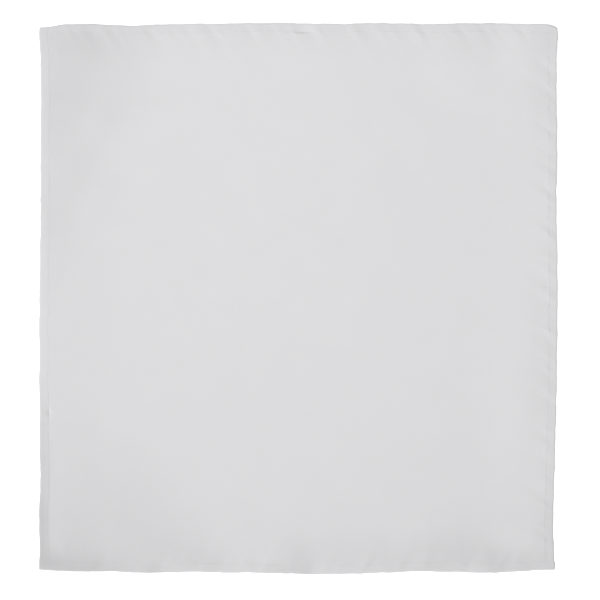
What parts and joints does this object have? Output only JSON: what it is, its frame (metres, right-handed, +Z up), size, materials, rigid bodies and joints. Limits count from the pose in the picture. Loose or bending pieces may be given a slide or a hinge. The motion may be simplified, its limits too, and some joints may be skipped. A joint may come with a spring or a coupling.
{
  "type": "bandana",
  "caption": "Plain square bandana of light cotton with a narrow turned hem all round, laid out flat, for wearing round the head or neck or for wrapping.",
  "frame": {"origin": "middle of the cloth's outline, on the surface that it lies on", "axes": "+Z up out of the cloth's upper face, +Y along its longer sides towards its upper edge, +X towards its right edge as seen from above"},
  "size_m": [0.5188, 0.5508, 0.0093],
  "materials": {
    "cotton": "matte"
  },
  "bodies": {
    "root": {"cloth_panel": "cotton"}
  },
  "joints": []
}
